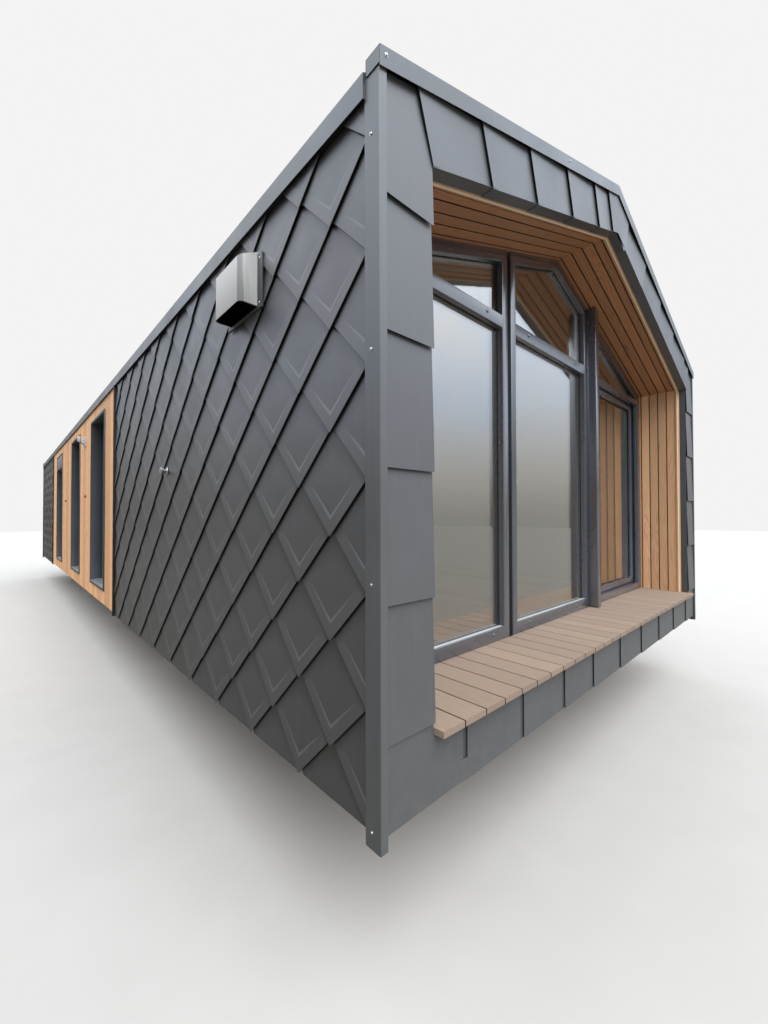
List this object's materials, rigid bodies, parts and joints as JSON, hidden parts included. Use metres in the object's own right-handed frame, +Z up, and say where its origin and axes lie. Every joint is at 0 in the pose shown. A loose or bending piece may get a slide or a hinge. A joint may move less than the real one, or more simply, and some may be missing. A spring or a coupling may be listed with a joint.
{
  "type": "tiny house",
  "caption": "Long gable-roofed tiny house with tiled metal and timber cladding, a recessed glazed terrace front with a hinged glass door, tall side windows, on a steel frame and block piers.",
  "frame": {"origin": "on the ground under the middle block pier, at the middle of the house's width and length", "axes": "+X to the right seen from the terrace front, +Y from the terrace front to the back, +Z up"},
  "size_m": [4.556, 13.918, 3.9042],
  "materials": {
    "concrete": "rough cast concrete",
    "frame_steel": "matt paint",
    "floor_core": "plain timber",
    "floor_wood": "satin floorboards",
    "white_lining": "matt painted panels",
    "metal_tiles": "matt folded tiles",
    "metal_trim": "matt folded sheet",
    "metal_sheet": "matt sheet panels",
    "light_boards": "oiled boards",
    "warm_boards": "oiled heat-treated boards",
    "pale_strip": "planed edge strip",
    "decking": "brushed composite boards",
    "window_frame": "satin powder coat",
    "glass": "clear insulating glass",
    "bare_steel": "brushed",
    "sill_metal": "satin folded sheet",
    "hood_metal": "satin painted sheet"
  },
  "bodies": {
    "house": {"piers": "concrete", "runners": "frame_steel", "cross_members": "frame_steel", "floor_platform": "floor_core", "floor_finish": "floor_wood", "left_wall": "white_lining", "right_wall": "white_lining", "back_wall": "white_lining", "roof_left": "white_lining", "roof_right": "white_lining", "roof_cover_left": "metal_tiles", "roof_cover_right": "metal_tiles", "ridge_cap": "metal_trim", "eave_fascias": "metal_trim", "front_verge_caps": "metal_trim", "back_verge_caps": "metal_trim", "gable_bands": "metal_sheet", "front_panels": "metal_sheet", "base_fascia": "metal_sheet", "front_corner_trims": "metal_trim", "back_corner_trims": "metal_trim", "left_metal_cladding": "metal_tiles", "right_metal_cladding": "metal_tiles", "left_wood_cladding": "light_boards", "right_wood_cladding": "light_boards", "back_cladding": "metal_tiles", "soffit_boards": "warm_boards", "reveal_boards": "warm_boards", "opening_strip": "pale_strip", "terrace_deck": "decking", "deck_bearers": "floor_core", "left_light_frame": "window_frame", "middle_light_frame": "window_frame", "glazing_posts": "window_frame", "front_glass": "glass", "door_frame": "window_frame", "door_hinges": "bare_steel", "window_linings": "metal_trim", "window_frames": "window_frame", "window_glass": "glass", "window_sills": "sill_metal", "blind_box": "sill_metal", "vent_hood": "hood_metal", "tap_socket": "bare_steel", "wall_lamp": "hood_metal"},
    "terrace_door": {"door_leaf": "window_frame", "door_glass": "glass", "door_handle": "bare_steel"}
  },
  "joints": [
    {"name": "terrace_door_hinge", "type": "hinge", "parent": "house", "child": "terrace_door", "pos_m": [1.918, -6.385, 0], "axis": [0, 0, -1], "range_deg": [0, 90]}
  ]
}
